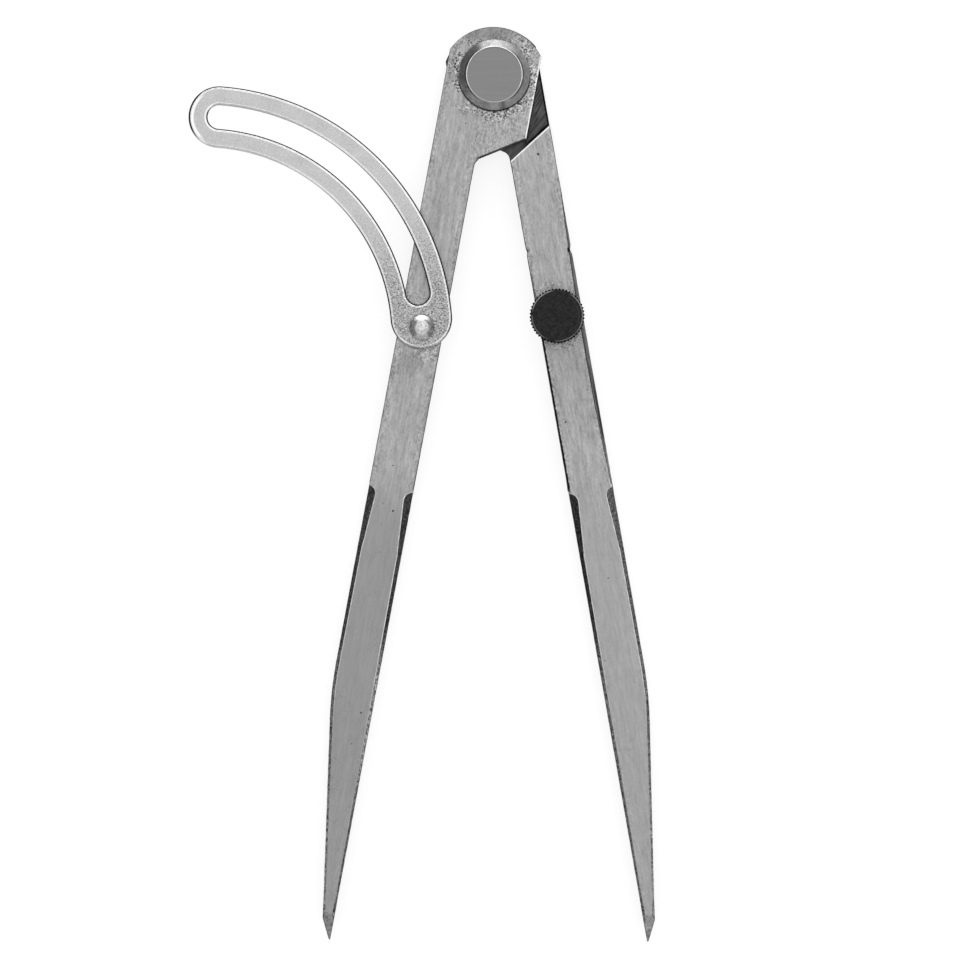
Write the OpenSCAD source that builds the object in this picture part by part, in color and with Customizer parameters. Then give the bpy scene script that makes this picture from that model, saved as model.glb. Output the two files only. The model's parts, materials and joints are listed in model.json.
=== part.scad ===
// Wing divider for marking out. Two flat steel legs turn on a half-lap pivot,
// a slotted wing swings on a rivet in the left leg, and a thumbscrew in the right leg locks it.
// It lies on its back: +X is to the right, +Y is towards the head and +Z is up.
// The origin is on the pivot axis, in the plane of the legs' back faces.

/* [Legs] */
// Length of a leg from the pivot axis to its point
leg_length = 191.5; // [175:0.5:260]
// Width of a leg
leg_w = 9.8; // [8:0.1:14]
// Thickness of a leg
leg_t = 5; // [4:0.25:8]
// Gap between the inner edges when the legs are closed
closing_gap = 0.9; // [0.4:0.1:2]
// Part of that gap on the right leg's side of the pivot axis
right_gap = 0.2; // [0.15:0.05:0.4]
// Angle between the legs as they lie
opening = 20.5; // [5:0.5:60]
// Distance from the pivot axis to the bend in the outer edge
bend_at = 138; // [120:1:155]
// Radius of the bend in the outer edge
bend_r = 85; // [20:5:150]
// Length of the ground point
point_len = 4.5; // [3:0.1:8]
// Width of the leg where the point starts
point_w = 2.45; // [1.5:0.05:4]
// Length of the facets on the front and back of the point
facet_len = 5.6; // [4:0.1:10]
// Width left at the very tip
tip_w = 0.3; // [0.2:0.1:1]
// Thickness left at the very tip
tip_t = 0.4; // [0.2:0.1:1]

/* [Head and lap joint] */
// How much larger the radius of the round head is than the reach of the outer edge
head_proud = 1.6; // [0.3:0.05:3]
// How far the middle of the head's curve lies below the pivot axis
head_low = 1.15; // [0:0.05:2]
// How far the free edge of a lap lies inside the outer edge of the other leg
lap_inset = 0.1; // [0:0.1:1]
// Distance from the pivot axis down to the corner of the left leg's shoulder
shoulder_drop = 12.5; // [10:0.5:18]
// How much higher the right leg's shoulder is
shoulder_step = 1.7; // [0:0.1:2.5]
// Slope of the shoulder across the leg
shoulder_angle = 32.5; // [15:0.5:40]
// Fillet between the shoulder and the inner edge
shoulder_fillet = 2; // [0.5:0.1:2.2]
// Clearance between the corner of a shoulder and the step of the other leg
lap_play = 0.2; // [0.2:0.05:0.6]
// Gap between the faces of the two laps
lap_gap = 0.1; // [0.04:0.02:0.3]

/* [Corner bevels of the lower legs] */
// Distance from the pivot axis to the top of the bevels
bevel_start = 92.6; // [75:0.5:100]
// Width of the bevels below their wide top
bevel_w = 1; // [0.3:0.05:1.1]
// Width of the bevels at the point
bevel_end_w = 0.4; // [0.1:0.05:0.6]
// Width of the bevels at their top
bevel_top_w = 1.75; // [1.2:0.05:2]
// Length of the wide top of a bevel
bevel_run = 11.5; // [5:0.5:20]
// Radius of the wheel that ground the top end of a bevel
wheel_r = 2; // [1.5:0.1:6]

/* [Eased outer corner of the right leg] */
// Distance from the pivot axis to the middle of the eased stretch
ease_at = 62; // [50:1:80]
// Length of the eased stretch
ease_len = 70; // [20:1:80]
// Width of the easing at its middle
ease_w = 0.9; // [0.3:0.1:1.6]

/* [Pivot] */
// Diameter of the pivot pin
pivot_d = 8; // [5:0.5:9]
// Diameter of the pivot head
pivot_head_d = 15.4; // [13:0.1:18]
// Height of the pivot head
pivot_head_h = 2.2; // [1.9:0.1:4]
// Width and height of the chamfer round the pivot head
pivot_chamfer = 1.6; // [0.4:0.1:1.8]
// How far the riveted tail flares at the back of the pin
tail_flare = 1.2; // [0.4:0.1:1.5]
// Radial clearance of the pin in the left leg
pivot_play = 0.05; // [0.02:0.01:0.1]
// Thickness of the dished washer's metal
spring_t = 0.3; // [0.2:0.05:0.6]
// Height of the dished washer between the leg and the pivot head
spring_h = 0.5; // [0.4:0.05:1.2]
// How far the washer lies inside the rim of the pivot head
spring_inset = 0.6; // [0.2:0.1:2]
// Clearance between the washer and the front of the left leg
spring_play = 0.05; // [0.02:0.01:0.2]

/* [Wing] */
// Radius of the wing along the middle of its band
wing_r = 47.6; // [40:0.2:60]
// Width of the rails on each side of the slot
rail_w = 4.15; // [3:0.05:6]
// Thickness of the wing
wing_t = 1.5; // [1:0.1:2.5]
// Angle of arc from the rivet to the middle of the far end
wing_span = 83.6; // [60:0.2:100]
// Turn of the wing as it lies, from straight across the tool
wing_turn = 2.4; // [-10:0.2:60]
// Distance along the arc from the rivet to the middle of the near end
wing_tail = 2.1; // [0:0.1:4]
// Distance along the arc from the rivet to the near end of the slot
slot_lead = 7.6; // [7:0.1:12]
// Room for the stud in the slot
slot_play = 1.1; // [0.4:0.1:2]
// Distance from the pivot axis down the left leg to the rivet
rivet_at = 56.9; // [45:0.1:75]
// How far the rivet lies inside the middle of the leg
rivet_inset = 0.2; // [0:0.1:1]
// Diameter of the rivet's shank
rivet_d = 3; // [2:0.1:3.6]
// How far the rivet's domed head overhangs its shank
rivet_lip = 1.15; // [0.4:0.05:1.2]
// Height of the rivet's domed head
rivet_dome_h = 1.2; // [0.6:0.05:1.6]
// How far the rivet's tail flares at the back
rivet_flare = 0.7; // [0.3:0.05:1]
// Clearance of the wing round and along its rivet
rivet_play = 0.05; // [0.02:0.01:0.1]
// Thickness of the washer under the wing
wing_washer_t = 0.3; // [0.2:0.05:1]
// Width of the rim of the washer under the wing
wing_washer_rim = 2.5; // [1:0.1:3]

/* [Thumbscrew] */
// Distance from the pivot axis down the right leg to the thumbscrew
screw_at = 54.1; // [45:0.1:75]
// How far the thumbscrew lies inside the middle of the leg
screw_inset = 0.8; // [0:0.1:1.5]
// Outer diameter of the stud's thread
screw_d = 4; // [3:0.5:5]
// Pitch of the stud's thread
screw_pitch = 0.7; // [0.5:0.05:1]
// Distance from the end of the stud to the back of the leg
stud_short = 0.5; // [0.2:0.1:2]
// Radial clearance of the stud in the leg and in the knob
stud_play = 0.05; // [0.02:0.01:0.1]
// Outer diameter of the knob
knob_d = 12; // [10:0.5:16]
// Height of the knurled rim
knob_h = 5; // [3:0.5:8]
// Number of knurls round the knob
knurls = 48; // [24:2:64]
// Depth of the knurls
knurl_depth = 0.35; // [0.1:0.05:0.6]
// Chamfer at both ends of the knurled rim
knob_chamfer = 0.46; // [0.2:0.02:0.8]
// Thickness of the knob above the end of the stud
knob_crown = 2; // [1:0.25:2.5]
// Wall of the collar under the knob
collar_wall = 2.2; // [1:0.1:2.6]
// Height of the collar under the knob
collar_h = 1; // [0.5:0.1:3]
// Room between the collar and the front of the wing
knob_lift = 0.35; // [0.2:0.05:1]

/* [Hidden] */

$fn = 96;
// Overshoot of cuts that run out of a face
slack = 1;

// Leg in the closed position, with its inner edge to the left
inner_x = right_gap;
outer_x = inner_x + leg_w;
lap_edge = outer_x - lap_inset;
head_r = outer_x + head_proud;
mid_z = leg_t / 2;
// The left leg is set off from the axis, and its shoulder is lower
left_shift = closing_gap - 2 * right_gap;
right_drop = shoulder_drop - shoulder_step;

// Shoulder of a lap: the height at which its fillet meets the inner edge, and the fillet from there up
fillet_drop = shoulder_fillet * (1 - sin(shoulder_angle)) / cos(shoulder_angle);
fillet_steps = 10;
fillet_turn = 90 - shoulder_angle;
function fillet_y(drop) = -drop - (inner_x + lap_edge) * tan(shoulder_angle) - fillet_drop;
function fillet_arc(drop) = [
    for (i = [fillet_steps:-1:0])
        [inner_x - shoulder_fillet, fillet_y(drop)] + shoulder_fillet * unit(fillet_turn * i / fillet_steps)
];

// Outer edge: straight, round the bend, then straight to the point
point_corner = [inner_x + point_w, point_len - leg_length];
taper_angle = atan((outer_x - point_corner.x) / (-bend_at - point_corner.y));
bend_c = [outer_x - bend_r, bend_r * tan(taper_angle / 2) - bend_at];
bend_steps = 6;
bend_arc = [for (i = [0:bend_steps]) bend_c + bend_r * unit(-taper_angle * i / bend_steps)];

// Bevels, whose depth is measured square to their face
bevel_depth = bevel_w / sqrt(2);
bevel_top_depth = bevel_top_w / sqrt(2);
bevel_tilt = atan((bevel_top_depth - bevel_depth) / bevel_run);
wheel_run_out = sqrt(2 * wheel_r * bevel_top_depth - bevel_top_depth ^ 2);
bevel_y = -bevel_start - wheel_run_out;
outer_bevel = concat([[outer_x, bevel_y]], bend_arc, [point_corner]);
inner_bevel = [[outer_x, bevel_y], [outer_x, -leg_length]];
bevel_taper = (bevel_w - bevel_end_w) / (leg_length + bevel_y);
function strip_depth(y) = (bevel_w - bevel_taper * (bevel_y - y)) / sqrt(2);
facet_angle = atan((leg_t - tip_t) / 2 / facet_len);

// Easing, cut as a shallow scallop
ease_depth = ease_w / sqrt(2);
ease_r = ((ease_len / 2) ^ 2 + ease_depth ^ 2) / (2 * ease_depth);
ease_facets = 720;

// Levels from the back up
pivot_head_z = leg_t + spring_play + spring_h;
wing_z = leg_t + wing_washer_t + rivet_play;
wing_top = wing_z + wing_t;
rivet_head_z = wing_top + rivet_play;
collar_z = wing_top + knob_lift;
rim_z = collar_z + collar_h;
knob_top = rim_z + knob_h;
stud_top = knob_top - knob_crown;

// Places in the closed leg
rivet_x = left_shift + inner_x + leg_w / 2 - rivet_inset;
screw_x = inner_x + leg_w / 2 - screw_inset;

// Wing, with the rivet at its origin and the middle of its arc to the left
slot_w = screw_d + slot_play;
wing_w = slot_w + 2 * rail_w;
wing_near = wing_tail / wing_r * 180 / PI;
slot_near = slot_lead / wing_r * 180 / PI;
// Angle by which the two halves of an arc run into each other
arc_overlap = 5;

// Domed rivet head as part of a ball
dome_base_r = rivet_d / 2 + rivet_lip;
dome_r = (dome_base_r ^ 2 + rivet_dome_h ^ 2) / (2 * rivet_dome_h);

// Thread rings of the stud
thread_depth = 0.61 * screw_pitch;
thread_turns = floor((collar_z - stud_short) / screw_pitch);
thread_r = screw_d / 2;
root_r = thread_r - thread_depth;

steel = [0.66, 0.66, 0.66];
plated = [0.78, 0.78, 0.78];
black = [0.16, 0.16, 0.16];

function unit(angle) = [cos(angle), sin(angle)];

// Places its children on the left leg, which is the mirror of the right one
module on_left_leg() {
    rotate([0, 0, -opening / 2]) mirror([1, 0, 0]) children();
}

module on_right_leg() {
    rotate([0, 0, opening / 2]) children();
}

module both_faces() {
    children();
    translate([0, 0, leg_t]) mirror([0, 0, 1]) children();
}

module leg_outline(drop, shift) {
    intersection() {
        translate([0, -head_low]) circle(r = head_r);
        translate([shift - lap_edge, -head_r]) square([lap_edge + outer_x, 2 * head_r]);
    }
    translate([shift, 0]) polygon(concat(
        [[-lap_edge, 0], [-lap_edge, -drop]],
        fillet_arc(drop),
        [[inner_x, -leg_length], [inner_x + tip_w, -leg_length], point_corner],
        [for (i = [bend_steps:-1:0]) bend_arc[i]],
        [[outer_x, 0]]
    ));
}

// Frame of a bevel along the front corner of an edge, with Z square to the bevel
module along_corner(from, to) {
    run = to - from;
    translate([from.x, from.y, leg_t])
        rotate([0, 0, atan2(run.y, run.x)])
        rotate([-45, 0, 0])
        children();
}

// Cuts along every edge of a chain of points, shallower towards the point
module bevel_chain(points) {
    for (i = [0:len(points) - 2]) {
        run = norm(points[i + 1] - points[i]);
        from = strip_depth(points[i].y);
        rise = from - strip_depth(points[i + 1].y);
        along_corner(points[i], points[i + 1])
            translate([0, 0, -from])
            rotate([0, -atan(rise / run), 0])
            translate([-bevel_w, -2 * bevel_w, 0])
            cube([run + 2 * bevel_w, 4 * bevel_w, 4 * bevel_w]);
    }
}

// The wider top of a bevel, with the round end that the wheel left
module bevel_top(points) {
    along_corner(points[0], points[1])
        translate([0, 0, -bevel_top_depth])
        rotate([0, -bevel_tilt, 0]) {
            translate([0, -2 * bevel_top_w, 0])
                cube([bevel_run / cos(bevel_tilt), 4 * bevel_top_w, 2 * wheel_r]);
            translate([0, 0, wheel_r])
                rotate([90, 0, 0])
                cylinder(r = wheel_r, h = 4 * bevel_top_w, center = true);
        }
}

// A long shallow scallop along the front outer corner
module eased_corner() {
    along_corner([outer_x, -ease_at], [outer_x, -leg_length])
        translate([0, 0, ease_r - ease_depth])
        rotate([90, 0, 0])
        cylinder(r = ease_r, h = 4 * ease_w, center = true, $fn = ease_facets);
}

module tip_facet() {
    translate([inner_x - slack, -leg_length, mid_z + tip_t / 2])
        rotate([facet_angle, 0, 0])
        translate([0, -slack, 0])
        cube([leg_w, facet_len / cos(facet_angle) + 2 * slack, leg_t]);
}

// A leg without its lap and holes, from its shoulder's drop and its shift off the axis
module leg_blank(drop, shift) {
    difference() {
        linear_extrude(leg_t) leg_outline(drop, shift);
        translate([shift, 0, 0]) both_faces() {
            bevel_chain(outer_bevel);
            bevel_top(outer_bevel);
            translate([inner_x + outer_x, 0, 0]) mirror([1, 0, 0]) {
                bevel_chain(inner_bevel);
                bevel_top(inner_bevel);
            }
            tip_facet();
        }
    }
}

// Space that the other leg's lap takes up, from a level upwards and from that lap's drop
module lap_space(from_z, drop) {
    height = mid_z + lap_gap / 2 + slack;
    reach = norm([lap_edge, drop]) + lap_play;
    rotate([0, 0, shoulder_angle])
        translate([-2 * head_r, -reach, from_z])
        cube([4 * head_r, reach + 2 * head_r, height]);
    translate([inner_x - 2 * head_r, fillet_y(shoulder_drop) - slack, from_z])
        cube([2 * head_r, head_r, height]);
}

module left_leg() {
    color(steel) on_left_leg() difference() {
        leg_blank(shoulder_drop, left_shift);
        lap_space(-slack, right_drop);
        translate([0, 0, -slack]) cylinder(d = pivot_d + 2 * pivot_play, h = leg_t + 2 * slack);
        translate([rivet_x, -rivet_at, 0]) rivet_body();
    }
}

module right_leg() {
    color(steel) on_right_leg() difference() {
        leg_blank(right_drop, 0);
        eased_corner();
        lap_space(mid_z - lap_gap / 2, shoulder_drop);
        pivot_body();
        translate([screw_x, -screw_at, -slack]) cylinder(d = screw_d + 2 * stud_play, h = leg_t + 2 * slack);
    }
}

// Shank and flared tail of the pivot pin, which the right leg is riveted round
module pivot_body() {
    cylinder(d = pivot_d, h = pivot_head_z);
    cylinder(d1 = pivot_d + 2 * tail_flare, d2 = pivot_d, h = tail_flare);
}

module pivot_pin() {
    land_h = pivot_head_h - pivot_chamfer;
    color(steel) {
        pivot_body();
        translate([0, 0, pivot_head_z]) cylinder(d = pivot_head_d, h = land_h);
        translate([0, 0, pivot_head_z + land_h])
            cylinder(d1 = pivot_head_d, d2 = pivot_head_d - 2 * pivot_chamfer, h = pivot_chamfer);
    }
}

module pivot_spring_washer() {
    hole_r = pivot_d / 2 + pivot_play;
    rim_r = pivot_head_d / 2 - spring_inset;
    rise = spring_h - spring_t;
    color(steel) translate([0, 0, leg_t + spring_play]) rotate_extrude()
        polygon([[hole_r, rise], [rim_r, 0], [rim_r, spring_t], [hole_r, spring_h]]);
}

// Part of the wing's arc, as wide as given, with round ends. Each half is swept from its own end
module arc_bar(from, to, width, height) {
    half = (to - from) / 2;
    translate([-wing_r, 0, 0])
        rotate([0, 0, from + half])
        for (side = [0, 1]) mirror([0, side, 0])
        rotate([0, 0, -half]) {
            rotate_extrude(angle = half + arc_overlap)
                translate([wing_r - width / 2, 0]) square([width, height]);
            translate([wing_r, 0, 0]) cylinder(d = width, h = height);
        }
}

// Places its children at the rivet, square to the tool
module at_rivet() {
    on_left_leg() translate([rivet_x, -rivet_at, 0]) mirror([1, 0, 0]) rotate([0, 0, opening / 2]) children();
}

module wing() {
    color(plated) at_rivet() rotate([0, 0, wing_turn]) difference() {
        translate([0, 0, wing_z]) arc_bar(wing_near, wing_span, wing_w, wing_t);
        translate([0, 0, wing_z - slack]) arc_bar(slot_near, wing_span, slot_w, wing_t + 2 * slack);
        translate([0, 0, wing_z - slack]) cylinder(d = rivet_d + 2 * rivet_play, h = wing_t + 2 * slack);
    }
}

// Shank and flared tail of the rivet, which fill their hole in the left leg
module rivet_body() {
    cylinder(d = rivet_d, h = rivet_head_z);
    cylinder(d1 = rivet_d + 2 * rivet_flare, d2 = rivet_d, h = rivet_flare);
}

module wing_rivet() {
    color(plated) at_rivet() {
        rivet_body();
        intersection() {
            translate([0, 0, rivet_head_z + rivet_dome_h - dome_r]) sphere(r = dome_r);
            translate([0, 0, rivet_head_z]) cylinder(r = dome_r, h = dome_r);
        }
    }
}

module wing_washer() {
    color(plated) at_rivet() translate([0, 0, leg_t]) difference() {
        cylinder(d = rivet_d + 2 * wing_washer_rim, h = wing_washer_t);
        translate([0, 0, -slack]) cylinder(d = rivet_d, h = wing_washer_t + 2 * slack);
    }
}

module at_screw() {
    on_right_leg() translate([screw_x, -screw_at, 0]) children();
}

// The thread is drawn as rings, one for each turn
module thumbscrew_stud() {
    color(steel) at_screw() rotate_extrude() polygon(concat(
        [[0, stud_short]],
        [for (i = [0:thread_turns - 1]) each [
            [root_r, stud_short + i * screw_pitch],
            [thread_r, stud_short + (i + 0.5) * screw_pitch]
        ]],
        [[root_r, stud_short + thread_turns * screw_pitch], [root_r, collar_z]],
        [[thread_r, collar_z], [thread_r, stud_top], [0, stud_top]]
    ));
}

module knurled_rim() {
    rim_r = knob_d / 2;
    intersection() {
        linear_extrude(knob_h) polygon([
            for (i = [0:2 * knurls - 1]) (rim_r - (i % 2) * knurl_depth) * unit(180 * i / knurls)
        ]);
        rotate_extrude() polygon([
            [0, 0],
            [rim_r - knob_chamfer, 0],
            [rim_r + slack, knob_chamfer + slack],
            [rim_r + slack, knob_h - knob_chamfer - slack],
            [rim_r - knob_chamfer, knob_h],
            [0, knob_h]
        ]);
    }
}

module thumbscrew_knob() {
    color(black) at_screw() difference() {
        union() {
            translate([0, 0, rim_z]) knurled_rim();
            translate([0, 0, collar_z]) cylinder(d = screw_d + 2 * collar_wall, h = collar_h + knob_h / 2);
        }
        translate([0, 0, collar_z - slack])
            cylinder(d = screw_d + 2 * stud_play, h = stud_top + stud_play - collar_z + slack);
    }
}

left_leg();
right_leg();
pivot_pin();
pivot_spring_washer();
wing();
wing_rivet();
wing_washer();
thumbscrew_stud();
thumbscrew_knob();
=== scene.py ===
# %% [markdown]
# # Dressing a wing divider
# A wing divider is a marking-out tool: two flat steel legs on a stiff pivot, a slotted wing that
# swings on a rivet, and a thumbscrew that clamps the wing. Its solids are already built and fixed.
# This lesson gives them their finish. It loads the solids as a frame, copies or remakes each piece
# with the worn edges and turned details of the real one, and lets every piece ride on its solid.

# %% Load the frame
import json
import math

import bmesh
import bpy
from mathutils import Matrix, Vector, noise


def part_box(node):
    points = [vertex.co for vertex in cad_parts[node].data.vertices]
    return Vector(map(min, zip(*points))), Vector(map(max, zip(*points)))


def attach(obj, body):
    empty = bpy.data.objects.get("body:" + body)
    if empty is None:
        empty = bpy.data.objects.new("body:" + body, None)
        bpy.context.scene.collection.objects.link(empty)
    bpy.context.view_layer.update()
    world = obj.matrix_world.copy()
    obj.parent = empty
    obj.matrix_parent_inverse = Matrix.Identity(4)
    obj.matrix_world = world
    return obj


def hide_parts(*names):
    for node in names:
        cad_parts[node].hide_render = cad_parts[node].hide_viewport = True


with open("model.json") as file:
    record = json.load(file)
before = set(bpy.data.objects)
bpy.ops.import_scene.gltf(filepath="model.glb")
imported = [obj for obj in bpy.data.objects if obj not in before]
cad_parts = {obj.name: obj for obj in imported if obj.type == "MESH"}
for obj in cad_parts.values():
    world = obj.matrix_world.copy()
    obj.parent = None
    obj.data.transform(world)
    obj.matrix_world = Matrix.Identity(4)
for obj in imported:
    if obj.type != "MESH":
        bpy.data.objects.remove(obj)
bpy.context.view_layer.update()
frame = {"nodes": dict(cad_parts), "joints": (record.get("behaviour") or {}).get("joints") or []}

scene = bpy.context.scene
MM = 0.001
print("pieces in the frame:", sorted(frame["nodes"]))

# %% [markdown]
# ## Where things are
# Nothing is placed by eye. The hinge axes in the record say where the rivet and the thumbscrew
# stand, the closing limit of the legs says how far each leg leans, and the boxes of the solids give
# the levels. Measuring from the frame keeps the looks right if the solids change.

# %% Axes, lean and levels
joints = {joint["name"]: joint for joint in frame["joints"]}
PIVOT_AXIS = Vector((0, 0))
RIVET_AXIS = Vector(joints["wing_swing"]["pos_m"]).to_2d()
SCREW_AXIS = Vector(joints["thumbscrew_turn"]["pos_m"]).to_2d()
LEG_LEAN = math.radians(-joints["leg_opening"]["range_deg"][0] / 2)
leg_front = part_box("left_leg")[1].z
print("rivet at", RIVET_AXIS[:], "thumbscrew at", SCREW_AXIS[:], "lean", math.degrees(LEG_LEAN))

# %% [markdown]
# ## The camera
# The tool is seen straight from above, from far enough away that its sides hardly show. The scale
# of the picture is known, 4.6 pixels to the millimetre, so the lens follows from the height of the
# camera, and the pivot's place in the picture gives the camera's place, with no trial and error.

# %% Camera above the tool
PICTURE_PX = 960
PX_PER_MM = 4.6
PIVOT_PX = Vector((494.3, 75.0))
PICTURE_TURN = math.radians(0.3)
CAMERA_RISE = 1.4
SENSOR_MM = 36.0

middle = Vector((PICTURE_PX / 2, PICTURE_PX / 2)) - PIVOT_PX
middle = Vector((middle.x, -middle.y)) / PX_PER_MM * MM
middle.rotate(Matrix.Rotation(PICTURE_TURN, 2))
camera = bpy.data.objects.new("camera", bpy.data.cameras.new("camera"))
camera.data.sensor_width = SENSOR_MM
camera.data.lens = SENSOR_MM * CAMERA_RISE / (PICTURE_PX / PX_PER_MM * MM)
camera.location = (middle.x, middle.y, leg_front + CAMERA_RISE)
camera.rotation_euler = (0, 0, PICTURE_TURN)
scene.collection.objects.link(camera)
scene.camera = camera
scene.view_settings.view_transform = "Standard"
print("lens", round(camera.data.lens, 1), "mm, over", [round(v / MM, 1) for v in middle])

# %% [markdown]
# ## Formulas as nodes
# Finishes and shapes here are formulas: a base grey, plus grain, minus pits. Wiring Math nodes by
# hand hides the formula, so a small class wraps a socket and turns +, - and * into Math nodes. It
# serves the shaders and the geometry trees, because both know the Math node.

# %% A wire that can be added and multiplied
class Wire:
    """A value on its way from one node to the next."""

    def __init__(self, tree, socket):
        self.tree = tree
        self.socket = socket

    def math(self, operation, other=0.0, **settings):
        return add(self.tree, "ShaderNodeMath", {0: self, 1: other}, operation=operation, **settings)

    def __add__(self, other):
        return self.math("ADD", other)

    def __sub__(self, other):
        return self.math("SUBTRACT", other)

    def __rsub__(self, other):
        return self.math("MULTIPLY", -1.0) + other

    def __mul__(self, other):
        return self.math("MULTIPLY", other)

    def __truediv__(self, other):
        return self.math("DIVIDE", other)

    def within(self, low, high):
        """0 at low, 1 at high, and smooth between them."""
        levels = {"Value": self, "From Min": low, "From Max": high}
        return add(self.tree, "ShaderNodeMapRange", levels, interpolation_type="SMOOTHSTEP")

    def limited(self):
        return self.math("ADD", 0.0, use_clamp=True)

    def xyz(self):
        """The three numbers of a vector."""
        split = add(self.tree, "ShaderNodeSeparateXYZ", {0: self}).socket.node
        return [Wire(self.tree, socket) for socket in split.outputs]

    __radd__ = __add__
    __rmul__ = __mul__


def add(tree, kind, inputs=None, out=0, **settings):
    """Adds a node, sets it up, wires its inputs and returns one of its outputs."""
    node = tree.nodes.new(kind)
    for name, value in settings.items():
        setattr(node, name, value)
    for name, value in (inputs or {}).items():
        if isinstance(value, Wire):
            tree.links.new(value.socket, node.inputs[name])
        else:
            node.inputs[name].default_value = value
    return Wire(tree, node.outputs[out]) if node.outputs else None


def length(x, y):
    return (x * x + y * y).math("SQRT")


def empty_tree(owner):
    """The node tree of a material or a world, with nothing in it."""
    owner.use_nodes = True
    owner.node_tree.nodes.clear()
    return owner.node_tree


print("wires are ready")

# %% [markdown]
# ## Floor and light
# The tool lies on a white sheet in a light tent, under a large soft box. The walls of the tent are
# brightest half way up, which whitens every rounded edge. A window beyond the head of the tool, and a
# gap low on its left, model the chamfer of the pivot: each side of the cone mirrors another side of the
# room. The sheet has to be white in the picture without more light on the steel, so for the camera and
# for reflections it glows by most of its white, and the rest is lit, which keeps the shadow.

# %% World, soft box and floor
WORLD_LEVEL = 0.56
TENT_GLOW = 0.4
WINDOW_GLOW = 4.5
GAP_SHADE = 0.5
SOFT_BOX_SIZE = 1.1
SOFT_BOX_PLACE = Vector((0.05, 0.12, 1.5))
SOFT_BOX_WATTS = 3.0
FLOOR_SIZE = 12.0
FLOOR_DROP = 0.02 * MM
FLOOR_GLOW = 0.8
FLOOR_LIT = 0.28
FLOOR_WHITE = 0.8

world = bpy.data.worlds.new("room")
scene.world = world
tree = empty_tree(world)
to_right, to_head, up = add(tree, "ShaderNodeTexCoord", out="Generated").xyz()
tent = up.within(0.92, 0.6) * up.within(0.05, 0.3) * TENT_GLOW
window = to_head.within(0.8, 0.98) * WINDOW_GLOW
gap = to_right.within(-0.72, -0.95) * GAP_SHADE
glow = WORLD_LEVEL + tent + window - gap
room = add(tree, "ShaderNodeBackground", {"Color": (1, 1, 1, 1), "Strength": glow})
add(tree, "ShaderNodeOutputWorld", {"Surface": room})

soft_box = bpy.data.objects.new("soft_box", bpy.data.lights.new("soft_box", "AREA"))
soft_box.data.size = SOFT_BOX_SIZE
soft_box.data.energy = SOFT_BOX_WATTS
soft_box.location = SOFT_BOX_PLACE
soft_box.rotation_euler = (-SOFT_BOX_PLACE).to_track_quat("-Z", "Y").to_euler()
scene.collection.objects.link(soft_box)

half = FLOOR_SIZE / 2
floor_mesh = bpy.data.meshes.new("floor")
corners = [(x * half, y * half, -FLOOR_DROP) for x, y in ((-1, -1), (1, -1), (1, 1), (-1, 1))]
floor_mesh.from_pydata(corners, [], [(0, 1, 2, 3)])
floor = bpy.data.objects.new("floor", floor_mesh)
scene.collection.objects.link(floor)
paper = bpy.data.materials.new("white_sheet")
tree = empty_tree(paper)
kinds = ("Camera", "Glossy", "Transmission")
rays = [add(tree, "ShaderNodeLightPath", out=f"Is {kind} Ray") for kind in kinds]
seen = (rays[0] + rays[1] + rays[2]).limited()
whites = [(white, white, white, 1) for white in (FLOOR_WHITE, FLOOR_LIT)]
plain, lit = [add(tree, "ShaderNodeBsdfDiffuse", {"Color": white}) for white in whites]
shine = add(tree, "ShaderNodeEmission", {"Strength": FLOOR_GLOW})
glowing = add(tree, "ShaderNodeAddShader", {0: lit, 1: shine})
sheet = add(tree, "ShaderNodeMixShader", {0: seen, 1: plain, 2: glowing})
add(tree, "ShaderNodeOutputMaterial", {"Surface": sheet})
floor_mesh.materials.append(paper)
print("floor", FLOOR_SIZE, "m wide, world level", WORLD_LEVEL)

# %% [markdown]
# ## Finishes from formulas
# Every finish starts from the place on the piece, in millimetres, so a grain of 0.1 mm is written as
# 0.1. Noise that is stretched along one direction reads as grinding marks, noise that is even reads
# as mottling, and the cells of a Voronoi pattern give pits. One helper ends each finish in a metal
# shader with its grey, its roughness and its bump.

# %% Helpers for metal finishes
def start_finish(name):
    """A new material, and the place on the piece in millimetres."""
    material = bpy.data.materials.new(name)
    tree = empty_tree(material)
    spot = add(tree, "ShaderNodeTexCoord", out="Object")
    return material, add(tree, "ShaderNodeMapping", {"Vector": spot, "Scale": (1 / MM,) * 3})


def speckle(place, scale, detail=3.0, shift=0.0):
    """Noise from 0 to 1. Scale is in features to a millimetre, one for X, Y and Z or one for each."""
    scale = scale if isinstance(scale, tuple) else (scale,) * 3
    mapped = {"Vector": place, "Scale": scale, "Location": (shift,) * 3}
    where = add(place.tree, "ShaderNodeMapping", mapped)
    return add(place.tree, "ShaderNodeTexNoise", {"Vector": where, "Scale": 1.0, "Detail": detail})


def ripple(place, scale, **settings):
    """The same noise, about zero."""
    return speckle(place, scale, **settings) - 0.5


def pits(place, spacing, radius, share):
    """Round pits, 1 inside and 0 outside, in a share of the cells of a Voronoi pattern."""
    cells = add(place.tree, "ShaderNodeTexVoronoi", {"Vector": place, "Scale": 1 / spacing})
    colour = Wire(place.tree, cells.socket.node.outputs["Color"])
    chance = add(place.tree, "ShaderNodeSeparateColor", {0: colour})
    hollow = cells.within(radius / spacing, 0.3 * radius / spacing)
    return hollow * chance.math("LESS_THAN", share)


def from_axis(place, axis):
    """Distance from an upright axis, in millimetres, and the angle round it."""
    x, y = place.xyz()[:2]
    x, y = x - axis.x / MM, y - axis.y / MM
    return length(x, y), y.math("ARCTAN2", x)


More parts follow.
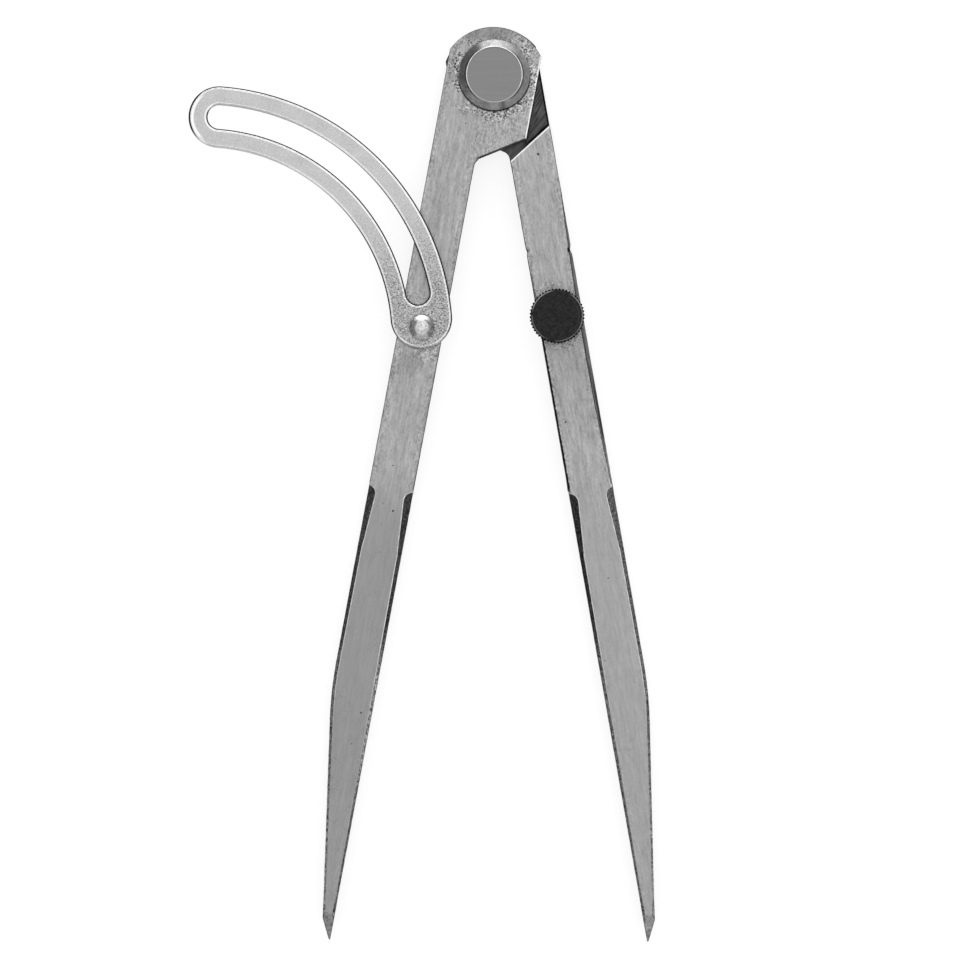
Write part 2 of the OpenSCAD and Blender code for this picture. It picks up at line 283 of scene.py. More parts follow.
def end_finish(material, grey, roughness, height, depth, metallic=1.0, shine=0.5):
    """Ends a finish in a metal or a matte shader. Height is from 0 to 1, and depth its size in mm."""
    tree = material.node_tree
    bump = add(tree, "ShaderNodeBump", {"Height": height, "Distance": depth * MM, "Strength": 1.0})
    shader = add(tree, "ShaderNodeBsdfPrincipled", {
        "Base Color": grey, "Roughness": roughness, "Metallic": metallic,
        "Specular IOR Level": shine, "Normal": bump,
    })
    add(tree, "ShaderNodeOutputMaterial", {"Surface": shader})
    return material


print("finish helpers are ready")

# %% [markdown]
# ## Ground steel of the legs
# The broad faces were ground on a belt, along the leg. That leaves fine lines, broader streaks and a
# mottle, and small pits that the belt didn't reach. Turning the place by the lean of the leg lays the
# grain along it, and gives the distance down the leg and across it, which also tell where the leg was
# ground finer, where a dark skin was left along an edge and where the point starts.

# %% Place on a leg, and the rough ring round the pivot
def leg_place(place, lean):
    """A place turned along a leg, and its distances outwards across the leg and down from the pivot."""
    along = add(place.tree, "ShaderNodeMapping", {"Vector": place, "Rotation": (0, 0, -lean)})
    x, y = along.xyz()[:2]
    return along, x * math.copysign(1, lean), y * -1.0


def worn_ring(place, axis, inner, outer, shift):
    """Dark and bright specks in a ring round an axis, where something was hammered or turned."""
    patches = speckle(place, 0.35, detail=2.0, shift=shift).within(0.36, 0.54)
    ring = from_axis(place, axis)[0].within(outer, inner) * patches
    specks = speckle(place, 2.7, detail=1.5, shift=shift + 14)
    return specks.within(0.475, 0.4) * ring, specks.within(0.53, 0.62) * ring


def head_shadow_and_stain(place):
    """Painted shadow round the pivot's head, strongest below it, a stained patch above it, and where the
    front is.
    """
    x, y, z = place.xyz()
    front = z.within(3.0, 4.0)
    at_foot = from_axis(place, PIVOT_AXIS)[0].within(8.1, 7.9)
    foot_shadow = at_foot * (0.2 + y.within(2.0, -3.0) * 0.8) * front
    stain_and_shade = y.within(6.6, 8.4) * (x + 0.8).math("ABSOLUTE").within(7.0, 4.0) * front
    return foot_shadow, stain_and_shade, front


print("places and marks are ready")

# %% [markdown]
# The face itself is a sum of grains on a base grey, darkened where there are pits, marks or skin, and
# by painted shadows round the pivot's head, along the shoulder, below the wing on the left leg and below
# the knob on the right. A painted highlight runs along a line near the head of each leg. Along the edges
# the mottle is stronger, because that is where a leg is knocked and rubbed. The deepest pits are set one
# by one, because they stand out, and the rest come from a Voronoi pattern.

# %% Ground finish
BASE_GREY = 0.375
LEG_WIDTH = 9.8
FINE_FROM, FINE_TO = 84.0, 104.0
POINT_FROM = 185.9
STEP_ACROSS, STEP_DEEP = 0.537, 0.843
SHOULDER_AT = 15.59


def ground_steel(name, lean, lower, deep_pits, smudge, skin, worn_axis, highlight_line):
    """Lower is how much smoother and darker the lower half is. The rest lies across and down the leg."""
    material, place = start_finish(name)
    along, out, down = leg_place(place, lean)
    hair = ripple(along, (2.7, 0.4, 2.7), detail=2.0)
    streak = ripple(along, (1.0, 0.05, 1.0), shift=3.0)
    mottle = ripple(along, (2.9, 1.7, 2.9), detail=2.0, shift=6.0)
    cloud = ripple(place, 0.12)
    smoother, darker = lower
    low_half = down.within(FINE_FROM, FINE_TO)
    edge, first, last, share, width, black = skin
    far_edge = edge + LEG_WIDTH
    by_edge = out.within(edge + 2.2, edge + 0.4) + out.within(far_edge - 2.2, far_edge - 0.4)
    grain = hair * 0.36 + mottle * (by_edge * 0.45 + 0.26) + streak * 0.24 + cloud * 0.1
    darker = low_half * darker * (1 - down.within(140.0, 185.0) * 0.3)
    grey = (grain * (1 - low_half * smoother) + BASE_GREY) * (1 - darker)

    # Painted shadow round the base of the pivot's head, stronger below it; the patch above it is a stain.
    foot_shadow, stain_and_shade, front = head_shadow_and_stain(place)
    head_marks, head_glints = worn_ring(place, PIVOT_AXIS, 8.6, 12.0, shift=17.0)
    more_marks, more_glints = worn_ring(place, worn_axis, 6.6, 9.2, shift=5.0)
    unstained = 1 - stain_and_shade * 0.8
    pit = pits(place, 3.4, 0.2, 0.3) + head_marks * unstained * 0.85 + more_marks * 0.3
    for pit_out, pit_down, size in deep_pits:
        pit = pit + length(out - pit_out, down - pit_down).within(size, size * 0.4)
    pit = pit.limited()

    ragged = out + mottle * width * 0.7
    left_dark = ragged.within(edge + width + 0.1, edge + width)
    left_dark = left_dark * (0.55 + down.within(54.0, 58.0) * 0.45)
    left_dark = left_dark * down.within(first, first + 3) * down.within(last, last - 3)
    left_dark = left_dark * (mottle + hair).within(0.14 - 0.4 * share, 0.2 - 0.4 * share)
    side_line = out.within(far_edge - 0.35, far_edge - 0.1) * down.within(14.0, 18.0)
    side_line = side_line * down.within(94.0, 90.0) * (mottle + 0.5)
    # Painted shadow: a dark line along the shoulder where the lap ends.
    shoulder_shadow = (out * -STEP_ACROSS + down * STEP_DEEP - SHOULDER_AT).within(-0.42, -0.34)
    shoulder_shadow = shoulder_shadow * out.within(edge, edge - 0.8)

    # Painted shadow: a dark patch below the wing on the left leg and below the knob on the right.
    shadow_patch_out, shadow_patch_down, size, shadow_patch_shade = smudge
    shadow_patch = length(out - shadow_patch_out, down - shadow_patch_down) + mottle * 4
    shadow_patch = shadow_patch.within(size, size * 0.3)
    # Painted highlight: a lighter line near the head of each leg, at the step on the right one.
    across, deep, offset = highlight_line
    wear_and_highlight = (out * across + down * deep - offset).within(0.42, 0.24) * down.within(22.0, 20.0) * front
    tip = (down + mottle * 3).within(POINT_FROM - 0.5, POINT_FROM + 0.4)
    cross = ripple(along, (0.6, 1.3, 0.6), detail=2.0, shift=8.0)
    tip_pits = speckle(place, 1.7, detail=1.0, shift=19.0).within(0.56, 0.66) * tip
    bent_lines = ripple(place, 0.45, detail=1.0, shift=31.0).math("ABSOLUTE").within(0.016, 0.006)
    scratches = bent_lines * speckle(place, 0.16, detail=1.0, shift=41.0).within(0.52, 0.6)
    glints = head_glints * unstained + more_glints * 0.6
    grey = grey * (1 - tip * 0.16) * (1 - tip_pits * 0.4) + cross * tip * 0.4 + glints * 0.26 + wear_and_highlight * 0.5
    grey = grey * (1 - pit * 0.85) * (1 - left_dark * black) * (1 - foot_shadow * 0.8)
    grey = grey * (1 - side_line * 0.4) * (1 - shoulder_shadow * 0.85)
    grey = grey * (1 - stain_and_shade * 0.36) * (1 - shadow_patch * shadow_patch_shade) * (1 - scratches * 0.13)
    roughness = 0.42 + mottle * 0.2 + hair * 0.12 + pit * 0.3
    height = hair * 0.3 + mottle * 0.3 - pit * 0.8 + glints * 0.3
    return end_finish(material, grey, roughness, height, depth=0.03)


print("ground finish is ready, with a base grey of", BASE_GREY)

# %% [markdown]
# The legs differ: the left one was ground finer below, and the right one has a black skin along its
# inner edge, two nicks and a painted highlight at its step.

# %% Ground faces of both legs
RIGHT_STEP = (STEP_ACROSS, STEP_DEEP, 16.15)
NICK_OUT, NICK_DOWN = 9.55, 40.2
SMALL_NICK_DOWN = 39.0
left_pits = [(4.3, 97.2, 0.3), (3.1, 141.6, 0.25), (6.1, 87.5, 0.2)]
right_pits = [(6.4, 18.6, 0.35), (NICK_OUT, NICK_DOWN, 0.55), (0.4, SMALL_NICK_DOWN, 0.4)]
right_pits += [(2.2, 77.0, 0.25), (5.5, 112.0, 0.2)]
# The left leg gets a painted shadow patch below the wing, and the right one gets one below the knob.
left_face = ground_steel(
    "ground_steel_left", -LEG_LEAN, lower=(0.6, 0.2), deep_pits=left_pits, smudge=(6.7, 64.8, 4.0, 0.2),
    skin=(0.7, 20, 94, 0.4, 0.34, 0.5), worn_axis=RIVET_AXIS, highlight_line=(1.0, 0.0, -9.4),
)
right_face = ground_steel(
    "ground_steel_right", LEG_LEAN, lower=(0.45, 0.02), deep_pits=right_pits, smudge=(4.5, 68.0, 9.0, 0.1),
    skin=(0.2, 42, 94, 1.5, 0.42, 0.98), worn_axis=SCREW_AXIS, highlight_line=RIGHT_STEP,
)
print("ground faces:", left_face.name, right_face.name)

# %% [markdown]
# ## Skins and edges
# The edges and the bevels were never ground: they keep the dull black skin from hardening, rubbed a
# little lighter in places. A dull skin is not a metal to the eye, so its shader has no metal and hardly
# any shine, or else steep walls would mirror the white sheet. The lap was milled and stayed dark too,
# with slanting tool marks, and with painted shade along its walls and its step.

# %% Dark skins
def black_scale(name, lean, rubbed_from, upper, wear_and_highlight, lower):
    """Upper, rubbed and lower say how much lighter the inner and the outer bevel are, from top to point."""
    material, place = start_finish(name)
    along, out, down = leg_place(place, lean)
    flakes = ripple(place, 2.3)
    facing = add(place.tree, "ShaderNodeNewGeometry", out="True Normal").xyz()[2]
    on_bevel = facing.math("ABSOLUTE").within(0.1, 0.3)
    rubs = speckle(along, (2.0, 0.25, 2.0), shift=7.0).within(0.5, 0.72)
    beads = speckle(along, (1.6, 1.4, 1.6), detail=2.0, shift=2.0).within(0.2, 0.7)
    outside = (out * 1.6 + (down - 92) * 0.05).within(6.5, 8.0)
    top, bend, point = [outside * (outer - inner) + inner for inner, outer in (upper, wear_and_highlight, lower)]
    to_point = down.within(150.0, 166.0)
    lighter = down.within(70.0, 95.0) * down.within(140.0, 115.0) * top
    lighter = lighter + down.within(rubbed_from, rubbed_from + 18) * (1 - to_point) * beads * bend
    lighter = lighter + to_point * down.within(186.5, 185.5) * beads * point
    grey = lighter * on_bevel * (1 + flakes * 4.5) + flakes * 0.25 + rubs * 0.03 + 0.036
    rough = 0.6 + flakes * 0.2
    return end_finish(material, grey.limited(), rough, flakes, depth=0.03, metallic=0.0, shine=0.1)


def milled_lap(name, lean, step):
    """Step is the line across and down the leg where the lap ends."""
    material, place = start_finish(name)
    out, down = leg_place(place, lean)[1:]
    inwards = leg_place(place, -lean)[1]
    slanted = leg_place(place, lean + LAP_SLANT)[0]
    lines = ripple(slanted, (3.6, 0.35, 3.6), detail=2.0)
    stains = ripple(place, 0.5, detail=4.0, shift=3.0)
    across, deep, offset = step
    round_head = from_axis(place, PIVOT_AXIS)[0].within(10.3, 10.5) * down.within(2.0, 0.0)
    # Painted shade along the lap's walls, round the head and along the step, less at its low end.
    painted_corner_shade = (inwards + 9.4).within(-0.3, -0.05) + out.within(9.45, 9.7) + round_head
    painted_corner_shade = (painted_corner_shade + (out * across + down * deep - offset).within(-0.8, -0.45)).limited()
    low_end = out.within(5.0, 3.5)
    grey = (lines * 0.28 + stains * 0.06 + low_end * 0.08 + 0.08).limited()
    grey = grey * (1 - painted_corner_shade * (0.9 - low_end * 0.5))
    return end_finish(material, grey, 0.5 + stains * 0.3, lines, depth=0.02)


LAP_SLANT = math.radians(-42)
LEFT_STEP = (STEP_ACROSS, STEP_DEEP, 14.8)
left_scale = black_scale("scale_left", -LEG_LEAN, 121, (0.0, -0.004), (0.34, 0.1), (0.1, 0.22))
left_skins = (left_scale, milled_lap("lap_left", -LEG_LEAN, LEFT_STEP))
right_scale = black_scale("scale_right", LEG_LEAN, 119, (-0.02, 0.055), (0.15, 0.14), (0.1, 0.24))
right_skins = (right_scale, milled_lap("lap_right", LEG_LEAN, RIGHT_STEP))
print("skins:", [skin.name for skin in (*left_skins, *right_skins)])

# %% [markdown]
# Where a ground face meets a dark one, the edge itself is rubbed bright, less so towards the point. The
# outer corner of the right leg was eased by hand, so it is grey inside and black towards the side.

# %% Bright edges and the rubbed corner
def bright_edge(name, base, dull_and_shade=0.0):
    """The third argument is a painted shade: how much darker the edge is below the pivot. Towards the points
    it fades.
    """
    material, place = start_finish(name)
    y = place.xyz()[1]
    rubs = ripple(place, 0.8, detail=4.0, shift=13.0)
    fading = 1 - y.within(-120.0, -150.0) * 0.42
    grey = (rubs * 1.2 + 1) * base * (1 - y.within(-1.0, -5.5) * dull_and_shade) * fading
    return end_finish(material, grey, 0.36 + rubs * 0.2, rubs, depth=0.01)


def rubbed_corner(name, lean, side):
    """The eased corner of a leg, up to its side."""
    material, place = start_finish(name)
    along, out, down = leg_place(place, lean)
    rubs = ripple(along, (2.4, 0.7, 2.4), shift=21.0)
    belt = down.within(64.0, 74.0) * down.within(90.0, 78.0)
    fading = down.within(80.0, 90.0)
    near_side = 0.17 - belt * 0.135 + fading * 0.13
    near_face = 0.09 + down.within(66.0, 78.0) * 0.17 + fading * 0.06
    across = (out + rubs * 0.8).within(side - 0.75, side - 0.4)
    nick = length(out - NICK_OUT, down - NICK_DOWN).within(0.6, 0.4)
    grey = (near_face + (near_side - near_face) * across) * (1 + rubs * 1.2) * (1 - nick * 0.96)
    return end_finish(material, grey, 0.5 + rubs * 0.2, rubs, depth=0.02)


RIGHT_SIDE = 10.0
edge_steel = bright_edge("bright_edge", 0.66)
corner_steel = rubbed_corner("rubbed_corner", LEG_LEAN, RIGHT_SIDE)
print("edges:", edge_steel.name, corner_steel.name)

# %% [markdown]
# ## The legs
# A leg could be modelled again from its outline, but its solid already has every bevel and step. So
# the leg is a copy of the solid that gets what the solid lacks: edges that aren't razor sharp. The
# copy is welded and cut across every 0.5 mm, so that its long edges have points to move. A cut that
# passes close to a corner goes through it, which leaves no slivers. A noise makes the edges waver, and
# two nicks are set where the tool was knocked.

# %% Cut and nick a leg
SLICE = 0.5 * MM
SLICE_SLACK = 0.15 * MM
FLAT_JOINT = math.radians(0.3)
WELD = 0.001 * MM
WAVER = 0.07 * MM
WAVES_EACH_MM = 0.9
PIVOT_KEEP = 20 * MM
FLAT = 0.95


def welded_copy(node):
    """The solid's mesh as a bmesh, with its loose triangles joined and its flat faces whole."""
    mesh = bmesh.new()
    mesh.from_mesh(frame["nodes"][node].data)
    bmesh.ops.remove_doubles(mesh, verts=mesh.verts, dist=WELD)
    bmesh.ops.dissolve_limit(mesh, angle_limit=FLAT_JOINT, verts=mesh.verts, edges=mesh.edges)
    return mesh


def slice_across(mesh, direction, first, last):
    """Cuts the mesh by planes across a direction, so that long edges get points."""
    for step in range(round((last - first) / SLICE)):
        everything = mesh.verts[:] + mesh.edges[:] + mesh.faces[:]
        reach = direction * (first + step * SLICE)
        bmesh.ops.bisect_plane(mesh, geom=everything, dist=SLICE_SLACK, plane_co=reach, plane_no=direction)


def nick_edges(mesh, direction, last, nicks, seed):
    """Moves the points of the edges inwards, a little everywhere and more in nicks."""
    moves = {}
    outwards = Vector((-direction.y, direction.x)) * math.copysign(1, direction.x)
    for vert in mesh.verts:
        normals = [face.normal for face in vert.link_faces]
        at_edge = min(normals[0].dot(other) for other in normals) < FLAT
        inward = -sum(normals, Vector()).to_2d()
        down = vert.co.dot(direction)
        if not at_edge or inward.length < 0.1 or not PIVOT_KEEP < down < last:
            continue
        inward.normalize()
        depth = WAVER * (1 + noise.noise(vert.co / MM * WAVES_EACH_MM + Vector((seed, 0, 0)))) / 2
        for side, place, half_length, nick_depth in nicks:
            if inward.dot(outwards) * side < 0:
                depth += nick_depth * max(0.0, 1 - abs(down - place) / half_length)
        moves[vert] = inward * depth
    for vert, move in moves.items():
        vert.co.xy += move
    return len(moves)


print("legs are cut every", SLICE / MM, "mm")

# %% [markdown]
# A Bevel modifier then rounds every sharp edge, and gives the rounding a slot of its own. The faces stay
# flat, so the grain lies true.

# %% Ease the edges of the legs
EDGE_EASE = 0.11 * MM
SHARP_EDGE = math.radians(25)
POINT_KEEP = 8 * MM
GROUND, SCALE, LAP, EDGE, RUBBED = range(5)


def new_piece(name, bm, finishes=()):
    """An object with the faces of a bmesh, and with its finishes."""
    raw = bpy.data.meshes.new(name)
    bm.to_mesh(raw)
    bm.free()
    for finish in finishes:
        raw.materials.append(finish)
    piece = bpy.data.objects.new(name, raw)
    scene.collection.objects.link(piece)
    return piece


def apply(piece, modifier):
    """Turns what a modifier makes of a piece into its mesh."""
    bpy.context.view_layer.update()
    made = piece.evaluated_get(bpy.context.evaluated_depsgraph_get())
    piece.data = bpy.data.meshes.new_from_object(made)
    piece.modifiers.remove(modifier)


def dress_leg(node, lean, finishes, nicks=()):
    """A leg with eased and nicked edges, with its finishes in the order of the slots above."""
    low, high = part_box(node)
    direction = Vector((math.sin(lean), -math.cos(lean), 0))
    reach = math.hypot(max(abs(low.x), abs(high.x)), low.y)
    mesh = welded_copy(node)
    slice_across(mesh, direction, PIVOT_KEEP, reach)
    mesh.normal_update()
    nicked = nick_edges(mesh, direction, reach - POINT_KEEP, nicks, seed=lean * 100)
    leg = new_piece(f"{node}_worn", mesh, finishes)
    ease = leg.modifiers.new("ease", "BEVEL")
    ease.width, ease.segments, ease.material = EDGE_EASE, 2, EDGE
    ease.limit_method, ease.angle_limit = "ANGLE", SHARP_EDGE
    ease.use_clamp_overlap, ease.harden_normals = False, True
    apply(leg, ease)
    print(node, "points nicked:", nicked, "faces:", len(leg.data.polygons))
    return leg


left_leg = dress_leg("left_leg", -LEG_LEAN, (left_face, *left_skins, edge_steel))
KNOCKS = [(1, NICK_DOWN * MM, 0.9 * MM, 0.35 * MM), (-1, SMALL_NICK_DOWN * MM, 0.8 * MM, 0.2 * MM)]
right_finishes = (right_face, *right_skins, edge_steel, corner_steel)
right_leg = dress_leg("right_leg", LEG_LEAN, right_finishes, KNOCKS)

# %% [markdown]
# ## Which finish goes where
# A face's own direction and place say what it is. Faces that look straight up or down at full
# thickness are ground, and so are the facets of the point. Those at half thickness are the lap, and
# tilted ones above the bevels are the rubbed corner. Of the eased edges, only those along the bevels,
# along the lap's free edge and along the step are bright. The rest is scale.

# %% Paint the legs and put them in place
BEVEL_TOP = 92 * MM
BRIGHT_TO = 172 * MM
POINT_GRIND = 6 * MM
LEVEL_SLACK = 0.2 * MM
HEAD_REACH = 12 * MM
LAP_REACH = 16 * MM
NEARLY_FLAT = 0.8
TILTED = 0.5
FACES_IN, FACES_UP = 0.9, -0.5


def rubbed_bright(face, direction, inwards):
    """Whether an eased edge borders a bevel, the lap's free edge or the step."""
    if face.center.dot(direction) > BEVEL_TOP:
        return abs(face.normal.z) > NEARLY_FLAT and face.center.dot(direction) < BRIGHT_TO
    facing = face.normal.to_2d().normalized()
    reach = face.center.to_2d().length
    free_edge = facing.dot(inwards.to_2d()) > FACES_IN and reach < LAP_REACH
    step = facing.dot(direction.to_2d()) < FACES_UP and reach > HEAD_REACH
    return free_edge or step


def paint_leg(leg, lean):
    direction = Vector((math.sin(lean), -math.cos(lean), 0))
    inwards = Vector((math.cos(lean), math.sin(lean), 0)) * -math.copysign(1, lean)
    reach = max(vert.co.dot(direction) for vert in leg.data.vertices)
    for face in leg.data.polygons:
        down, tilt = face.center.dot(direction), abs(face.normal.z)
        front = face.center.z > leg_front - LEVEL_SLACK
        surface = front or face.center.z < LEVEL_SLACK
        if face.material_index == EDGE:
            keep = surface and rubbed_bright(face, direction, inwards) and (front or down > BEVEL_TOP)
            ground = BRIGHT_TO < down < reach - POINT_KEEP and tilt > NEARLY_FLAT
            face.material_index = EDGE if keep else GROUND if ground else SCALE
        elif tilt > FLAT and surface or down > reach - POINT_GRIND and tilt > TILTED:
            face.material_index = GROUND
        elif tilt > FLAT:
            face.material_index = LAP
        else:
            face.material_index = RUBBED if tilt > TILTED and down < BEVEL_TOP else SCALE


def join_frame(piece, body, slot, *nodes):
    """Lets a finished piece ride on its body and stand for its solids."""
    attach(piece, body)
    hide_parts(*nodes)


for leg, node, lean in ((left_leg, "left_leg", -LEG_LEAN), (right_leg, "right_leg", LEG_LEAN)):
    paint_leg(leg, lean)
    join_frame(leg, node, "ground_steel", node)
    used = [face.material_index for face in leg.data.polygons]
    print(leg.name, "faces in each slot:", [used.count(k) for k in range(5)])

# %% [markdown]
# ## Turned pieces
# The pivot, the rivet, the washers, the stud and the knob are all turned round an axis. A Screw
# modifier or a spin would do it, but a plain loop shows what a lathe does: every corner of a half
# profile becomes a ring, and neighbouring rings are joined by faces. Corners are rounded first, in
# the profile, so the light catches them as it does on a real edge.

# %% A lathe
def rounded(corners, steps=4):
    """A profile whose corners (radius, height, rounding) become short arcs."""
    points = []
    for i, (r, z, rounding) in enumerate(corners):
        here = Vector((r, z))
        if not rounding:
            points.append(here)
            continue
        back = (Vector(corners[i - 1][:2]) - here).normalized()
        ahead = (Vector(corners[(i + 1) % len(corners)][:2]) - here).normalized()
        half_angle = back.angle(ahead) / 2
        reach = rounding / math.tan(half_angle)
        start, stop = here + back * reach, here + ahead * reach
        for k in range(steps + 1):
            t = k / steps
            points.append(start * (1 - t) ** 2 + here * 2 * t * (1 - t) + stop * t ** 2)
    return points


def turned(points, axis, sides, ring=False):
    """Turns a profile round an upright axis. A ring's profile closes on itself."""
    mesh = bmesh.new()
    rings = []
    turns = [Vector((math.cos(math.tau * k / sides), math.sin(math.tau * k / sides))) for k in range(sides)]
    for r, z in points:
        if r < WELD:
            rings.append([mesh.verts.new((axis.x, axis.y, z))] * sides)
        else:
            rings.append([mesh.verts.new((axis.x + r * way.x, axis.y + r * way.y, z)) for way in turns])
    for lower, upper in zip(rings, rings[1:] + rings[:1] if ring else rings[1:]):
        for k in range(sides):
            n = (k + 1) % sides
            corners = dict.fromkeys((lower[k], lower[n], upper[n], upper[k]))
            if len(corners) > 2:
                mesh.faces.new(corners)
    bmesh.ops.recalc_face_normals(mesh, faces=mesh.faces)
    for face in mesh.faces:
        face.smooth = True
    return mesh


def crisp(piece, angle=35):
    """Shades a piece smoothly, apart from its sharp edges."""
    piece.data.set_sharp_from_angle(angle=math.radians(angle))


print("lathe is ready")

# %% [markdown]
# ## Turned steel, the pivot and its washer
# Turned pieces have marks that are rings round the axis: noise of the distance alone. The head of the
# pivot was ground flat after it was hammered down, so its face has straight marks instead. Its chamfer
# is smoother than its face, with painted shade on its left and right and painted highlights at its top
# and bottom. The corner between them is rubbed bright, with painted shade on its lower side, and its
# side is painted near black as shade at the base of the head.

# %% Finishes of turned pieces
def ring_place(place, axis):
    """A place whose noise is the same all round an axis."""
    return add(place.tree, "ShaderNodeCombineXYZ", {0: from_axis(place, axis)[0], 2: place.xyz()[2]})


def turned_steel(name, axis, base, rough):
    material, place = start_finish(name)
    fine = ripple(ring_place(place, axis), (3.0, 1.0, 3.0))
    smudge = ripple(place, 0.5, detail=4.0)
    dust = ripple(place, 3.0, detail=4.0, shift=11.0)
    grey = (fine * 0.3 + smudge * 0.2 + dust * 0.25 + 1) * base
    rough = rough + smudge * 0.16 + dust * 0.12
    return end_finish(material, grey, rough, fine * 0.6 + dust * 0.4, depth=0.01)


def faced_steel(name, base, border):
    """The flat face of the pivot's head, with a dark line inside its upper border."""
    material, place = start_finish(name)
    y = place.xyz()[1]
    lines = ripple(place, (0.1, 1.6, 1.0), detail=2.0)
    smudge = ripple(place, 0.4, shift=6.0)
    dust = ripple(place, 2.0, shift=11.0)
    line = from_axis(place, PIVOT_AXIS)[0].within(border - 0.5, border - 0.25) * y.within(1.0, 4.0)
    grey = (lines * 0.16 + smudge * 0.12 + dust * 0.16 + 1) * base * (1 - line * 0.3)
    return end_finish(material, grey, 0.4 + smudge * 0.1 + dust * 0.1, lines * 0.6 + dust * 0.4, depth=0.008)


def chamfer_steel(name, base, inner):
    """The pivot's cone: a dark inner border at the sides, painted shade left and right, painted highlights
    top and bottom.
    """
    material, place = start_finish(name)
    distance = from_axis(place, PIVOT_AXIS)[0]
    x, y = place.xyz()[:2]
    fine = ripple(place, 1.2, shift=23.0)
    sides = x.math("ABSOLUTE").within(2.5, 5.0) * y.within(5.5, 3.5)
    border = distance.within(inner + 0.5, inner + 0.2) * sides
    # Painted reflection: the cone is painted darker on its left and right and lighter at its top and bottom.
    to_left = (y * 0.42 - x * 0.906) / distance
    stain_and_shade = (to_left + fine * 0.2).within(0.7, 0.88) * (0.52 + y.within(0.0, 3.5) * 0.14)
    shade = ((x * 0.95 - y * 0.3) / distance).within(0.7, 0.9) * 0.18
    wear_and_highlight = y.within(3.6, 5.8) * x.within(-4.0, -1.0) * 0.1 + y.within(-3.0, -5.5) * 0.16
    grey = (fine * 1.1 + 1) * base * (1 - border * 0.6) * (1 - stain_and_shade) * (1 - shade) * (1 + wear_and_highlight)
    return end_finish(material, grey, 0.26 + fine * 0.2, fine, depth=0.01)


print("finishes of turned pieces are ready")

# %% [markdown]
# Extra rings next to each rounded corner of the profile keep the smooth shading inside the corner, so
# that the cone mirrors as a true cone.

# %% Pivot pin
SIDES = 128
PIVOT_SHANK = 4 * MM
PIVOT_TAIL = 5.2 * MM
PIVOT_CHAMFER = 1.6 * MM
TAIL_ROUND, FOOT_ROUND, CONE_ROUND, RIM_ROUND = 0.1 * MM, 0.12 * MM, 0.15 * MM, 0.14 * MM
RIM_REACH = 0.1 * MM
RIM_INSIDE = 0.15 * MM
RIM_OUTSIDE = 0.03 * MM
CONE_END = 0.15 * MM
SIDE_END = 0.05 * MM
head_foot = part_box("pivot_spring_washer")[1].z
pivot_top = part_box("pivot_pin")[1].z
pivot_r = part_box("pivot_pin")[1].x
chamfer_foot = pivot_top - PIVOT_CHAMFER
face_r = pivot_r - PIVOT_CHAMFER
pivot_profile = rounded([
    (0, 0, 0),
    (PIVOT_TAIL, 0, TAIL_ROUND),
    (PIVOT_SHANK, PIVOT_TAIL - PIVOT_SHANK, 0),
    (PIVOT_SHANK, head_foot, 0),
    (pivot_r, head_foot, FOOT_ROUND),
    (pivot_r, chamfer_foot, CONE_ROUND),
    (pivot_r - CONE_END, chamfer_foot + CONE_END, 0),
    (face_r + RIM_REACH, pivot_top - RIM_REACH, 0),
    (face_r, pivot_top, RIM_ROUND),
    (face_r - RIM_INSIDE, pivot_top, 0),
    (0, pivot_top, 0),
])
pivot = new_piece("pivot_pin_turned", turned(pivot_profile, PIVOT_AXIS, SIDES), [
    faced_steel("faced_steel", 0.225, face_r / MM),
    chamfer_steel("chamfer_steel", 0.28, face_r / MM),
    # The rim gets painted shade on its lower side.
    bright_edge("bright_rim", 0.68, dull_and_shade=0.4),
    # The side of the head is painted near black, as shade at its base.
    turned_steel("painted_shade_side", PIVOT_AXIS, 0.05, 0.4),
])
FACE, CHAMFER, RIM, SIDE = range(4)
for face in pivot.data.polygons:
    r, z = face.center.to_2d().length, face.center.z
    at_rim = -RIM_INSIDE < r - face_r < RIM_OUTSIDE and z > chamfer_foot
    on_side = head_foot < z < chamfer_foot - SIDE_END
    face.material_index = RIM if at_rim else SIDE if on_side else CHAMFER if r > face_r else FACE
crisp(pivot)
join_frame(pivot, "right_leg", "turned_steel", "pivot_pin")
print("pivot head", round(2 * pivot_r / MM, 2), "mm wide, top at", round(pivot_top / MM, 2))

# %% [markdown]
# The dished washer under the head keeps the joint stiff. It hardly shows, so it is a plain ring.

# %% Spring washer
washer_low, washer_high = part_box("pivot_spring_washer")
washer_r = washer_high.x
WASHER_BORE = 4.05 * MM
WASHER_METAL = 0.3 * MM
washer_profile = [
    (WASHER_BORE, washer_high.z - WASHER_METAL),
    (washer_r, washer_low.z),
    (washer_r, washer_low.z + WASHER_METAL),
    (WASHER_BORE, washer_high.z),
]
spring_steel = turned_steel("spring_steel", PIVOT_AXIS, 0.12, 0.35)
washer_blank = turned(washer_profile, PIVOT_AXIS, SIDES, ring=True)
spring_washer = new_piece("pivot_washer_dished", washer_blank, [spring_steel])
crisp(spring_washer)
join_frame(spring_washer, "right_leg", "turned_steel", "pivot_spring_washer")
print("spring washer", round(2 * washer_r / MM, 2), "mm wide")

# %% [markdown]
# ## The wing, made by Geometry Nodes
# The wing is stamped from sheet and tumbled, which rounds its edges. Its shape follows a rule: every
# point of an outline is a point of the middle arc plus half the width in some direction. Going once
# round, the place on the arc runs out, waits at the far end, runs back and waits again, while the
# direction turns by half a turn at each end. Two angles say it all, so a grid bent by that rule gives
# a rolled edge, and the outside, the slot and the rivet hole are the same rule with other numbers.

